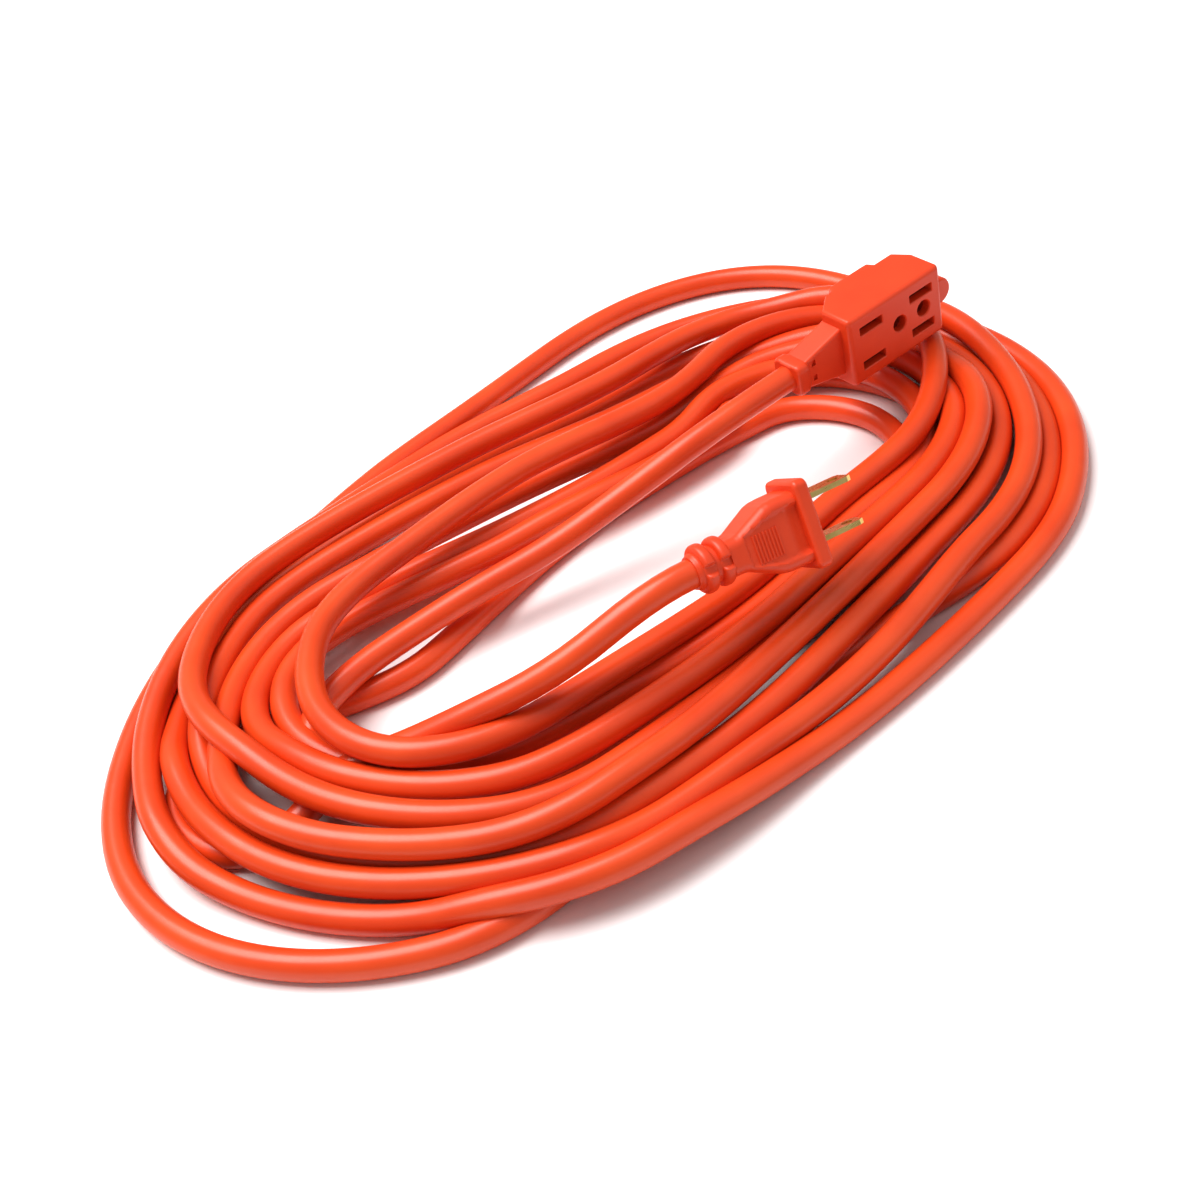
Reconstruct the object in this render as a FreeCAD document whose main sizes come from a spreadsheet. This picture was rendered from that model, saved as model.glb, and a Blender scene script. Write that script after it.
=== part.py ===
import FreeCAD, Part
import math
import os

import Sketcher
from FreeCAD import Placement, Rotation, Vector

# Extension cord: a two-blade plug, a long round cord wound into a flat oblong coil, and a
# three-outlet tap. Millimetres, +Z up. The coil lies on the floor plane Z = 0 with its long side
# along X, and the origin is the bottom centre of the whole object's box.

SIZES = {
    # cord and coil
    "cord_diameter": 8.4,
    "coil_length": 342.0,
    "coil_width": 222.0,
    "coil_height": 24.0,
    "coil_corner": 92.0,
    "coil_round": 8.0,
    "hole_length": 200.0,
    "hole_width": 76.0,
    "hole_shift_x": -4.0,
    "hole_shift_y": -12.0,
    "hole_corner": 28.0,
    # insulated wires and crimp barrels, the same at both ends
    "core_diameter": 2.6,
    "core_offset": 2.6,
    "strand_diameter": 1.8,
    "barrel_diameter": 3.8,
    "barrel_long": 3.6,
    "crimp_plate": 1.4,
    # plug: face at X = 0, blades towards +X, one blade above the other
    "blade_pitch": 12.7,
    "blade_thick": 1.5,
    "blade_reach": 16.0,
    "blade_root": 9.0,
    "line_blade": 6.3,
    "neutral_blade": 7.9,
    "blade_shoulder": 14.2,
    "line_tip": 4.3,
    "neutral_tip": 5.9,
    "blade_hole": 3.2,
    "hole_reach": 11.9,
    "blade_bevel": 0.4,
    "flange_thick": 4.5,
    "flange_wide": 17.0,
    "flange_tall": 25.4,
    "flange_round": 1.8,
    "grip_tall": 20.6,
    "grip_end_tall": 10.4,
    "grip_straight": 14.0,
    "grip_taper_end": 24.0,
    "grip_length": 26.0,
    "grip_wide": 14.0,
    "grip_bevel": 2.0,
    "plug_length": 37.5,
    "relief_diameter": 11.2,
    "ring_diameter": 14.0,
    "ring_wide": 3.6,
    "ring_gap": 0.9,
    "ring_pitch": 5.2,
    "ring_slot": 2.0,
    "panel_front": 6.0,
    "panel_back": 22.0,
    "panel_tall": 14.4,
    "panel_end_tall": 9.8,
    "panel_deep": 0.7,
    "rib_first": 12.3,
    "rib_pitch": 1.05,
    "rib_wide": 0.5,
    "rib_low": 4.6,
    "rib_high": 3.5,
    "bridge_deep": 8.0,
    "bridge_skin": 1.0,
    "bridge_wide": 10.0,
    "bridge_tall": 19.0,
    # tap: outlet face in the plane Y = 0, depth along +Y, outlets in a row along X
    "tap_length": 40.0,
    "tap_tall": 24.6,
    "tap_deep": 12.0,
    "tap_round": 1.6,
    "rear_left": 13.0,
    "rear_right": 16.5,
    "rear_deep": 18.0,
    "boss_foot": 20.0,
    "boss_length": 17.0,
    "boss_deep": 21.2,
    "neck_end": 36.0,
    "neck_tall": 18.2,
    "neck_end_tall": 9.6,
    "neck_wide": 9.0,
    "lip_end": 40.0,
    "lip_tall": 11.0,
    "lip_wide": 12.4,
    "axis_depth": 8.5,
    "tab_radius": 4.5,
    "tab_thick": 5.0,
    "tab_out": 1.5,
    "tab_depth": 4.5,
    "tab_height": 0.5,
    "dimple_wide": 1.5,
    "dimple_tall": 2.0,
    "dimple_deep": 0.8,
    "dimple_place": 32.4,
    "dimple_upper": 3.1,
    "dimple_lower": -2.3,
    "outlet_left": -10.7,
    "outlet_right": 11.0,
    "slot_long": 9.6,
    "slot_wide": 2.9,
    "pin_diameter": 5.4,
    "pin_left": 1.2,
    "pin_right": 11.7,
    "pin_deep": 8.0,
    "skin": 3.0,
    "carrier_length": 35.0,
    "carrier_tall": 19.0,
    "carrier_back": 11.0,
    "strip_front": 10.2,
    "strip_tall": 4.4,
    "leaf_thick": 0.6,
    "clip_tall": 3.1,
    "clip_long": 7.0,
    "clip_deep": 5.6,
    "rear_carrier_length": 18.0,
    "rear_carrier_tall": 17.6,
}

# where the two ends lie on the coil: the face's centre, then yaw, pitch and roll in degrees
PLUG_POSE = Placement(Vector(17.0, -74.5, 42.6), Rotation(-12.0, 4.5, -29.0))
TAP_POSE = Placement(Vector(111.5, -29.8, 37.6), Rotation(-6.0, -2.0, 0.0))

# the cord from each end to the coil: a straight first run out of the end, then these points
TAP_FIRST_RUN = 28.0
TAP_LEAD = [(14, -5, 26), (-14, 3, 18.5), (-40, 11, 15.5), (-63, 16, 13), (-85, 18, 12),
            (-106, 13, 11)]
PLUG_FIRST_RUN = 12.0
PLUG_LEAD = [(-60, -54, 34), (-82, -38, 25), (-97, -24, 17), (-112, -12, 13)]

doc = FreeCAD.newDocument("ExtensionCord")
sheet = doc.addObject("Spreadsheet::Sheet", "Sizes")
NODES = []


# ---- helpers -------------------------------------------------------------------------------

def fill_sheet():
    for row, (alias, value) in enumerate(SIZES.items(), start=1):
        sheet.set("A%d" % row, alias)
        sheet.set("B%d" % row, str(value))
        sheet.setAlias("B%d" % row, alias)
    doc.recompute()


def size(alias):
    return float(sheet.get(alias))


def linked(text):
    """An expression of sheet aliases with each alias made a reference to the sheet."""
    return " ".join("Sizes." + word if word in SIZES else word for word in str(text).split())


def bind(obj, prop, text):
    obj.setExpression(prop, linked(text))


def box(name, low, high):
    """A box between two corners; each coordinate is a number or an expression of aliases."""
    obj = doc.addObject("Part::Box", name)
    for prop, axis, start, end in zip(("Length", "Width", "Height"), "xyz", low, high):
        bind(obj, prop, "( %s ) - ( %s )" % (end, start))
        bind(obj, ".Placement.Base." + axis, start)
    return obj


def rod(name, start, end, diameter, across=0, height=0, along="x"):
    """A cylinder along X or Y from start to end; across is its place on the other axis."""
    obj = doc.addObject("Part::Cylinder", name)
    bind(obj, "Radius", "( %s ) / 2" % diameter)
    bind(obj, "Height", "( %s ) - ( %s )" % (end, start))
    turn = Rotation(Vector(0, 1, 0), 90) if along == "x" else Rotation(Vector(1, 0, 0), -90)
    obj.Placement = Placement(Vector(0, 0, 0), turn)
    other = "y" if along == "x" else "x"
    bind(obj, ".Placement.Base." + along, start)
    bind(obj, ".Placement.Base." + other, across)
    bind(obj, ".Placement.Base.z", height)
    return obj


def joined(name, pieces):
    obj = doc.addObject("Part::MultiFuse", name)
    obj.Shapes = pieces
    return obj


def cut(name, base, tools):
    obj = doc.addObject("Part::Cut", name)
    obj.Base = base
    obj.Tool = tools[0] if len(tools) == 1 else joined(name + "Tools", tools)
    return obj


def node(obj, label, pose=Placement()):
    obj.Label = label
    obj.Placement = pose
    NODES.append(obj)


def sketch_on(body, name, role):
    plane = [p for p in body.Origin.OriginFeatures if p.Role == role][0]
    sketch = body.newObject("Sketcher::SketchObject", name)
    sketch.AttachmentSupport = [(plane, "")]
    sketch.MapMode = "FlatFace"
    return sketch


def outline(sketch, corners):
    """Closed polygon; each corner is two (factor, alias) pairs, held by bound distances."""
    places = [Vector(u[0] * size(u[1]), v[0] * size(v[1]), 0) for u, v in corners]
    count = len(places)
    for i in range(count):
        sketch.addGeometry(Part.LineSegment(places[i], places[(i + 1) % count]), False)
    for i in range(count):
        sketch.addConstraint(Sketcher.Constraint("Coincident", i, 2, (i + 1) % count, 1))
    for i, corner in enumerate(corners):
        for kind, pair, value in zip(("DistanceX", "DistanceY"), corner, places[i]):
            held = Sketcher.Constraint(kind, -1, 1, i, 1, value)
            number = sketch.addConstraint(held)
            sketch.setExpression("Constraints[%d]" % number, linked("%g * %s" % pair))


def round_hole(sketch, across, diameter):
    """A circle on the sketch's X axis, its place and size bound to the sheet."""
    ring = Part.Circle(Vector(size(across), 0, 0), Vector(0, 0, 1), size(diameter) / 2)
    number = sketch.addGeometry(ring, False)
    sketch.addConstraint(Sketcher.Constraint("PointOnObject", number, 3, -1))
    place = sketch.addConstraint(Sketcher.Constraint("DistanceX", -1, 1, number, 3, size(across)))
    sketch.setExpression("Constraints[%d]" % place, "Sizes." + across)
    wide = sketch.addConstraint(Sketcher.Constraint("Diameter", number, size(diameter)))
    sketch.setExpression("Constraints[%d]" % wide, "Sizes." + diameter)


def rectangle(sketch, wide, tall):
    outline(sketch, [((-0.5, wide), (-0.5, tall)), ((0.5, wide), (-0.5, tall)),
                     ((0.5, wide), (0.5, tall)), ((-0.5, wide), (0.5, tall))])


def pad(body, sketch, name, length, middle=False, backwards=False):
    feature = body.newObject("PartDesign::Pad", name)
    feature.Profile = sketch
    feature.Midplane = middle
    feature.Reversed = backwards
    bind(feature, "Length", length)
    doc.recompute()
    return feature


def edges_where(feature, test):
    return ["Edge%d" % i for i, edge in enumerate(feature.Shape.Edges, start=1) if test(edge)]


def dressed(body, base, name, edges, amount, kind="Fillet"):
    feature = body.newObject("PartDesign::" + kind, name)
    feature.Base = (base, edges)
    bind(feature, "Radius" if kind == "Fillet" else "Size", amount)
    doc.recompute()
    body.Tip = feature
    return feature


def is_upright(edge):
    return edge.BoundBox.XLength < 0.01 and edge.BoundBox.YLength < 0.01


# ---- the coil ------------------------------------------------------------------------------

def make_coil():
    """The wound turns as one flat oblong ring with rounded rims."""
    body = doc.addObject("PartDesign::Body", "CoilBody")
    around = sketch_on(body, "CoilOutline", "XY_Plane")
    rectangle(around, "coil_length", "coil_width")
    slab = pad(body, around, "CoilPad", "coil_height")
    ends = dressed(body, slab, "CoilEnds", edges_where(slab, is_upright), "coil_corner")
    middle = sketch_on(body, "HoleOutline", "XY_Plane")
    rectangle(middle, "hole_length", "hole_width")
    bind(middle, ".AttachmentOffset.Base.x", "hole_shift_x")
    bind(middle, ".AttachmentOffset.Base.y", "hole_shift_y")
    hole = body.newObject("PartDesign::Pocket", "CoilHole")
    hole.Profile = middle
    hole.Type = "ThroughAll"
    hole.Midplane = True
    doc.recompute()
    assert hole.Shape.Volume < ends.Shape.Volume - 1000
    reach = size("hole_length") / 2 + 10
    corners = edges_where(hole, lambda e: is_upright(e) and abs(e.CenterOfMass.x) < reach
                          and abs(e.CenterOfMass.y) < size("coil_width") / 2 - 20)
    bends = dressed(body, hole, "HoleCorners", corners, "hole_corner")

    def on_rim(edge):
        extent = edge.BoundBox
        outside = abs(edge.CenterOfMass.x) > reach or abs(edge.CenterOfMass.y) > 70
        return extent.ZLength < 0.01 and outside

    dressed(body, bends, "CoilRim", edges_where(bends, on_rim), "coil_round")
    node(body, "coil")


# ---- the two leads -------------------------------------------------------------------------

def lead_path(label, corners):
    """Straight runs joined by tangent arcs, each as large as its two runs allow."""
    edges = []
    radii = []
    start = corners[0]
    for before, corner, after in zip(corners, corners[1:], corners[2:]):
        back = (before - corner).normalize()
        onward = (after - corner).normalize()
        half_turn = (math.pi - back.getAngle(onward)) / 2
        set_back = 0.45 * min(before.distanceToPoint(corner), corner.distanceToPoint(after))
        radius = set_back / math.tan(half_turn)
        radii.append(round(radius))
        inward = (back + onward).normalize()
        halfway = corner + inward * (radius / math.cos(half_turn) - radius)
        edges.append(Part.LineSegment(start, corner + back * set_back).toShape())
        arc = Part.Arc(corner + back * set_back, halfway, corner + onward * set_back)
        edges.append(arc.toShape())
        start = corner + onward * set_back
    edges.append(Part.LineSegment(start, corners[-1]).toShape())
    print(label, "bend radii", radii)
    return Part.Wire(edges)


def make_lead(label, pose, exit_point, heading, first_run, points):
    """Tube of cord: out of its end along the end's axis, then through the points."""
    start = pose.multVec(exit_point)
    second = start + pose.Rotation.multVec(heading) * first_run
    path = lead_path(label, [start, second] + [Vector(*p) for p in points])
    radius = size("cord_diameter") / 2
    ring = Part.Wire(Part.makeCircle(radius, start, path.Edges[0].tangentAt(0)))
    tube = path.makePipeShell([ring], True, False)
    expected = math.pi * radius ** 2 * path.Length
    assert abs(tube.Volume - expected) < 0.01 * expected
    assert tube.BoundBox.ZMin > 0
    print(label, "starts", [round(c, 2) for c in start], "then", [round(c, 2) for c in second])
    print(label, "length", round(path.Length, 1), "volume ratio", round(tube.Volume / expected, 4))
    feature = doc.addObject("Part::Feature", label)
    feature.Shape = tube
    node(feature, label)


# ---- wires and crimps, alike in the plug and in the tap ------------------------------------

def make_wire_end(prefix, pole, side, pose, start, depth, plate_top, exit_at):
    """One pole's crimp and insulated wire; returns the primitives that its moulding must clear.

    The crimp's plate ends in the plane X = start, where it meets the brass part.
    """
    tag = prefix.title() + pole.title()
    height = "%d * core_offset" % side
    low, high = sorted((side * (size("core_offset") - size("barrel_diameter") / 2), side * plate_top))
    plate_back = "%s - crimp_plate" % start
    barrel_back = plate_back + " - barrel_long"
    plate = box(tag + "Plate", (plate_back, "%s - barrel_diameter / 2" % depth, low),
                (start, "%s + barrel_diameter / 2" % depth, high))
    barrel = rod(tag + "Barrel", barrel_back, plate_back, "barrel_diameter", depth, height)
    strand = rod(tag + "Strand", barrel_back, plate_back, "strand_diameter", depth, height)
    core = rod(tag + "Core", exit_at, barrel_back, "core_diameter", depth, height)
    crimp = cut(tag + "Crimp", joined(tag + "CrimpSolid", [plate, barrel]), [strand])
    node(crimp, "%s_%s_crimp" % (prefix, pole), pose)
    node(joined(tag + "Wire", [core, strand]), "%s_%s_wire" % (prefix, pole), pose)
    return [plate, barrel, core]


# ---- the plug ------------------------------------------------------------------------------

def make_blade(pole, side):
    """Flat brass blade with a narrowed, bevelled tip and a hole, its root held in the bridge."""
    width = pole + "_blade"
    tip_width = pole + "_tip"
    body = doc.addObject("PartDesign::Body", pole.title() + "Blade")
    flat = sketch_on(body, pole.title() + "BladeOutline", "XY_Plane")
    outline(flat, [((-1, "blade_root"), (-0.5, width)), ((1, "blade_shoulder"), (-0.5, width)),
                   ((1, "blade_reach"), (-0.5, tip_width)), ((1, "blade_reach"), (0.5, tip_width)),
                   ((1, "blade_shoulder"), (0.5, width)), ((-1, "blade_root"), (0.5, width))])
    round_hole(flat, "hole_reach", "blade_hole")
    strip = pad(body, flat, pole.title() + "BladePad", "blade_thick", middle=True)
    tip = edges_where(strip, lambda e: abs(e.CenterOfMass.x - size("blade_reach")) < 0.01)
    dressed(body, strip, pole.title() + "BladeTip", tip, "blade_bevel", kind="Chamfer")
    offset = Placement(Vector(0, 0, side * size("blade_pitch") / 2), Rotation())
    node(body, "plug_%s_blade" % pole, PLUG_POSE.multiply(offset))


def blade_space(pole, side):
    """The slot that a blade's root fills, up to the plug's face."""
    middle = "%d * blade_pitch / 2" % side
    half = "%s_blade / 2" % pole
    return box(pole.title() + "BladeSpace",
               ("0 - blade_root", "0 - " + half, middle + " - blade_thick / 2"),
               (0, half, middle + " + blade_thick / 2"))


def make_flange():
    body = doc.addObject("PartDesign::Body", "FlangeBody")
    face = sketch_on(body, "FlangeOutline", "YZ_Plane")
    rectangle(face, "flange_wide", "flange_tall")
    plate = pad(body, face, "FlangePad", "flange_thick", backwards=True)
    corners = edges_where(plate, lambda e: e.BoundBox.XLength > 1)
    dressed(body, plate, "FlangeCorners", corners, "flange_round")
    return body


def make_grip():
    """Finger grip: straight behind the flange, then tapering towards the cord."""
    body = doc.addObject("PartDesign::Body", "GripBody")
    side_view = sketch_on(body, "GripOutline", "XZ_Plane")
    stations = (("flange_thick", "grip_tall"), ("grip_straight", "grip_tall"),
                ("grip_taper_end", "grip_end_tall"), ("grip_length", "grip_end_tall"))
    lower = [((-1, x), (-0.5, tall)) for x, tall in stations]
    upper = [((-1, x), (0.5, tall)) for x, tall in reversed(stations)]
    outline(side_view, lower + upper)
    block = pad(body, side_view, "GripPad", "grip_wide", middle=True)
    half = size("grip_wide") / 2
    long_edges = edges_where(block, lambda e: abs(abs(e.CenterOfMass.y) - half) < 0.01
                             and e.BoundBox.XLength > 1)
    dressed(body, block, "GripBevel", long_edges, "grip_bevel", kind="Chamfer")
    return body


def make_ribs():
    """Rows of fine grip ribs that stand in the recessed panel on each broad side."""
    ribs = []
    for tag, side in (("Near", -1), ("Far", 1)):
        outer = "%d * grip_wide / 2" % side
        inner = "%d * ( grip_wide / 2 - panel_deep - 0.3 )" % side
        low, high = (outer, inner) if side < 0 else (inner, outer)
        for i in range(8):
            front = "0 - rib_first - %d * rib_pitch" % i
            ribs.append(box("Rib%s%d" % (tag, i), (front + " - rib_wide", low, "0 - rib_low"),
                            (front, high, "rib_high")))
    return ribs


def make_panels():
    """The recess on each broad side of the grip, as one tool in two halves."""
    body = doc.addObject("PartDesign::Body", "PanelBody")
    side_view = sketch_on(body, "PanelOutline", "XZ_Plane")
    stations = (("panel_front", "panel_tall"), ("grip_straight", "panel_tall"),
                ("panel_back", "panel_end_tall"))
    lower = [((-1, x), (-0.5, tall)) for x, tall in stations]
    upper = [((-1, x), (0.5, tall)) for x, tall in reversed(stations)]
    outline(side_view, lower + upper)
    pad(body, side_view, "PanelPad", "flange_wide", middle=True)
    core = box("PanelCore", ("0 - panel_back - 1", "panel_deep - grip_wide / 2", "0 - panel_tall"),
               (0, "grip_wide / 2 - panel_deep", "panel_tall"))
    return cut("Panels", body, [core])


def make_relief():
    """Flexible sleeve with two rings, each ring slotted so that it can bend."""
    sleeve = rod("ReliefSleeve", "0 - plug_length", "0 - grip_length + 1", "relief_diameter")
    rings = []
    slots = []
    for i in range(2):
        front = "0 - grip_length - ring_gap - %d * ring_pitch" % i
        rings.append(rod("ReliefRing%d" % i, front + " - ring_wide", front, "ring_diameter"))
        slots.append(box("RingSlot%d" % i,
                         (front + " - ring_wide - 0.1", "0 - ring_diameter / 2 - 1",
                          "0 - ring_slot / 2"),
                         (front + " + 0.1", "0 - relief_diameter / 2 + 0.2", "ring_slot / 2")))
    return joined("Relief", [sleeve, cut("Rings", joined("RingPair", rings), slots)])


def make_plug():
    """Blades in a hard bridge, crimped to the wires, with a soft moulding round them all."""
    bridge_box = box("BridgeBox", ("0 - bridge_deep", "0 - bridge_wide / 2", "0 - bridge_tall / 2"),
                     ("0 - bridge_skin", "bridge_wide / 2", "bridge_tall / 2"))
    spaces = []
    clear = [bridge_box]
    plate_top = (size("blade_pitch") + size("blade_thick")) / 2
    for pole, side in (("neutral", 1), ("line", -1)):
        make_blade(pole, side)
        spaces.append(blade_space(pole, side))
        clear += make_wire_end("plug", pole, side, PLUG_POSE, "0 - blade_root", 0, plate_top,
                               "0 - plug_length")
    node(cut("Bridge", bridge_box, spaces), "plug_blade_bridge", PLUG_POSE)
    grip = cut("GripWithPanels", make_grip(), [make_panels()])
    outer = joined("PlugOuter", [make_flange(), grip, make_relief()] + make_ribs())
    node(cut("PlugMoulding", outer, clear + spaces), "plug_body", PLUG_POSE)


# ---- the tap -------------------------------------------------------------------------------

def make_tap_block():
    """The tap's block: flat outlet face, slanting sides behind, and a boss at the back."""
    body = doc.addObject("PartDesign::Body", "TapBlockBody")
    plan = sketch_on(body, "TapPlan", "XY_Plane")
    outline(plan, [((-0.5, "tap_length"), (0, "tap_deep")), ((0.5, "tap_length"), (0, "tap_deep")),
                   ((0.5, "tap_length"), (1, "tap_deep")), ((1, "rear_right"), (1, "rear_deep")),
                   ((0.5, "boss_foot"), (1, "rear_deep")), ((0.5, "boss_length"), (1, "boss_deep")),
                   ((-0.5, "boss_length"), (1, "boss_deep")), ((-0.5, "boss_foot"), (1, "rear_deep")),
                   ((-1, "rear_left"), (1, "rear_deep")), ((-0.5, "tap_length"), (1, "tap_deep"))])
    block = pad(body, plan, "TapBlockPad", "tap_tall", middle=True)
    front = edges_where(block, lambda e: e.CenterOfMass.y < 0.01)
    dressed(body, block, "TapFaceRound", front, "tap_round")
    return body


def make_neck():
    """Tapered neck that carries the cord into the tap."""
    body = doc.addObject("PartDesign::Body", "NeckBody")
    side_view = sketch_on(body, "NeckOutline", "XZ_Plane")
    outline(side_view, [((-1, "neck_end"), (-0.5, "neck_end_tall")),
                        ((-0.45, "tap_length"), (-0.5, "neck_tall")),
                        ((-0.45, "tap_length"), (0.5, "neck_tall")),
                        ((-1, "neck_end"), (0.5, "neck_end_tall"))])
    pad(body, side_view, "NeckPad", "neck_wide", middle=True)
    bind(body, ".Placement.Base.y", "axis_depth")
    return body


def tap_outer():
    lip = box("TapLip", ("0 - lip_end", "axis_depth - lip_wide / 2", "0 - lip_tall / 2"),
              ("0 - neck_end", "axis_depth + lip_wide / 2", "lip_tall / 2"))
    tab = rod("TapTab", "tab_depth - tab_thick / 2", "tab_depth + tab_thick / 2",
              "2 * tab_radius", "tap_length / 2 + tab_out", "tab_height", along="y")
    return joined("TapOuter", [make_tap_block(), make_neck(), lip, tab])


def make_dimples():
    """Two small square recesses on the front of the neck, as tools."""
    front = "axis_depth - neck_wide / 2"
    return [box("Dimple%d" % i, ("0 - dimple_place - dimple_wide / 2", front + " - 1",
                                 height + " - dimple_tall / 2"),
                ("0 - dimple_place + dimple_wide / 2", front + " + dimple_deep",
                 height + " + dimple_tall / 2"))
            for i, height in enumerate(("dimple_upper", "dimple_lower"))]


def slot(name, centre, side, front, back):
    """The space for one blade behind a slot of the tap."""
    height = "%d * blade_pitch / 2" % side
    return box(name, ("%s - slot_long / 2" % centre, front, height + " - slot_wide / 2"),
               ("%s + slot_long / 2" % centre, back, height + " + slot_wide / 2"))


def make_clip(label, centre, side, facing):
    """Spring clip: two leaves joined by a base that stands on the bus strip."""
    tag = label.title().replace("_", "")
    height = "%d * blade_pitch / 2" % side
    if facing == "front":
        low, high = "strip_front - clip_deep", "strip_front"
        open_low, open_high = low, high + " - leaf_thick"
    else:
        low, high = "carrier_back", "carrier_back + clip_deep"
        open_low, open_high = low + " + leaf_thick", high
    whole = box(tag + "Box", ("%s - clip_long / 2" % centre, low, height + " - clip_tall / 2"),
                ("%s + clip_long / 2" % centre, high, height + " + clip_tall / 2"))
    gap = box(tag + "Gap", ("%s - clip_long / 2" % centre, open_low,
                            height + " - clip_tall / 2 + leaf_thick"),
              ("%s + clip_long / 2" % centre, open_high, height + " + clip_tall / 2 - leaf_thick"))
    node(cut(tag, whole, [gap]), label, TAP_POSE)
    return whole


def make_strip(pole, side):
    """Bus strip that links a pole's three clips to its crimp."""
    height = "%d * blade_pitch / 2" % side
    tag = pole.title() + "Strip"
    flat = box(tag + "Flat", ("0 - carrier_length / 2", "strip_front", height + " - strip_tall / 2"),
               ("outlet_right + clip_long / 2", "carrier_back", height + " + strip_tall / 2"))
    holes = [rod(tag + "Hole%d" % i, "strip_front - 1", "carrier_back + 1", 1.6, across, height,
                 along="y") for i, across in enumerate((-5.4, 5.4))]
    node(cut(tag, flat, holes), "tap_%s_bus" % pole, TAP_POSE)
    pegs = [rod(tag + "Peg%d" % i, "strip_front", "carrier_back", 1.6, across, height, along="y")
            for i, across in enumerate((-5.4, 5.4))]
    return flat, pegs


def make_tap():
    """Two front outlets and one rear outlet on two bus strips, carried inside a soft moulding."""
    front_box = box("FrontCarrierBox", ("0 - carrier_length / 2", "skin", "0 - carrier_tall / 2"),
                    ("carrier_length / 2", "carrier_back", "carrier_tall / 2"))
    rear_box = box("RearCarrierBox",
                   ("0 - rear_carrier_length / 2", "carrier_back", "0 - rear_carrier_tall / 2"),
                   ("rear_carrier_length / 2", "rear_deep", "rear_carrier_tall / 2"))
    clear = [front_box, rear_box]
    front_spaces = []
    rear_spaces = []
    pegs = []
    plate_top = (size("blade_pitch") + size("strip_tall")) / 2
    for pole, side in (("neutral", 1), ("line", -1)):
        flat, strip_pegs = make_strip(pole, side)
        front_spaces.append(flat)
        pegs += strip_pegs
        for place, centre in (("left", "outlet_left"), ("right", "outlet_right")):
            label = "tap_%s_clip_%s" % (pole, place)
            front_spaces.append(make_clip(label, centre, side, "front"))
            tag = pole.title() + place.title()
            front_spaces.append(slot(tag + "Entry", centre, side, "skin",
                                     "strip_front - clip_deep"))
            clear.append(slot(tag + "Slot", centre, side, 0, "skin"))
        rear_spaces.append(make_clip("tap_%s_clip_rear" % pole, 0, side, "rear"))
        tag = pole.title() + "Rear"
        rear_spaces.append(slot(tag + "Entry", 0, side, "carrier_back + clip_deep", "rear_deep"))
        clear.append(slot(tag + "Slot", 0, side, "rear_deep", "boss_deep"))
        clear += make_wire_end("tap", pole, side, TAP_POSE, "0 - carrier_length / 2", "axis_depth",
                               plate_top, "0 - lip_end")
    for name, centre in (("PinLeft", "pin_left"), ("PinRight", "pin_right")):
        recess = rod(name, 0, "pin_deep", "pin_diameter", centre, 0.4, along="y")
        clear.append(recess)
        front_spaces.append(recess)
    hollow = cut("FrontCarrierHollow", front_box, front_spaces)
    node(joined("FrontCarrier", [hollow] + pegs), "tap_front_carrier", TAP_POSE)
    node(cut("RearCarrier", rear_box, rear_spaces), "tap_rear_carrier", TAP_POSE)
    node(cut("TapMoulding", tap_outer(), clear + make_dimples()), "tap_body", TAP_POSE)


# ---- build, check and write ----------------------------------------------------------------

def check_all():
    for obj in doc.Objects:
        assert "Invalid" not in obj.State and "Error" not in obj.State, obj.Name
    for obj in NODES:
        shape = obj.Shape
        assert not shape.isNull() and shape.isValid(), obj.Label
        assert len(shape.Solids) == 1, (obj.Label, len(shape.Solids))
        extent = shape.BoundBox
        print("%-24s volume %10.1f  x %7.1f %7.1f  y %7.1f %7.1f  z %6.1f %6.1f" % (
            obj.Label, shape.Volume, extent.XMin, extent.XMax, extent.YMin, extent.YMax,
            extent.ZMin, extent.ZMax))


def write_all():
    os.makedirs("parts", exist_ok=True)
    for obj in NODES:
        obj.Shape.exportStep("parts/%s.step" % obj.Label)
    print(len(NODES), "nodes written")


fill_sheet()
make_coil()
make_plug()
make_tap()
make_lead("plug_lead", PLUG_POSE, Vector(-size("plug_length"), 0, 0), Vector(-1, 0, 0),
          PLUG_FIRST_RUN, PLUG_LEAD)
make_lead("tap_lead", TAP_POSE, Vector(-size("lip_end"), size("axis_depth"), 0),
          Vector(-1, 0, 0), TAP_FIRST_RUN, TAP_LEAD)
doc.recompute()
check_all()
write_all()
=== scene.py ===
import math

import bmesh
import bpy
import numpy as np
from mathutils import Matrix, Vector


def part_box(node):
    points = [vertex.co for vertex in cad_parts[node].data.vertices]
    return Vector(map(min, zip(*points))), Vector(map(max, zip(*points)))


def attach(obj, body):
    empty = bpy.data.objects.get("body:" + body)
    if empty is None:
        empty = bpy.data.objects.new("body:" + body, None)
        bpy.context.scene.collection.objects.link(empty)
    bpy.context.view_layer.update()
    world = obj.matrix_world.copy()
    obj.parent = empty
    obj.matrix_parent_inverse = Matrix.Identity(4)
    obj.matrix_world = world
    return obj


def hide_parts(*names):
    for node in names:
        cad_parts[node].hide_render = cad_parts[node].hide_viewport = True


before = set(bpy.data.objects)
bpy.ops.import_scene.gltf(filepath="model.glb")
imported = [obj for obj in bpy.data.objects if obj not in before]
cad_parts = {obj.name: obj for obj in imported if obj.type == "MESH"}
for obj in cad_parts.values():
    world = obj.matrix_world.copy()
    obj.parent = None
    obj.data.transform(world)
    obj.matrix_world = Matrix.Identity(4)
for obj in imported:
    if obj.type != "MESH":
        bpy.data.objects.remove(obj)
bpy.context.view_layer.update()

MM = 0.001
# the cord's diameter in millimetres
CORD = 8.4

# ---- camera --------------------------------------------------------------------------------

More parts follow.
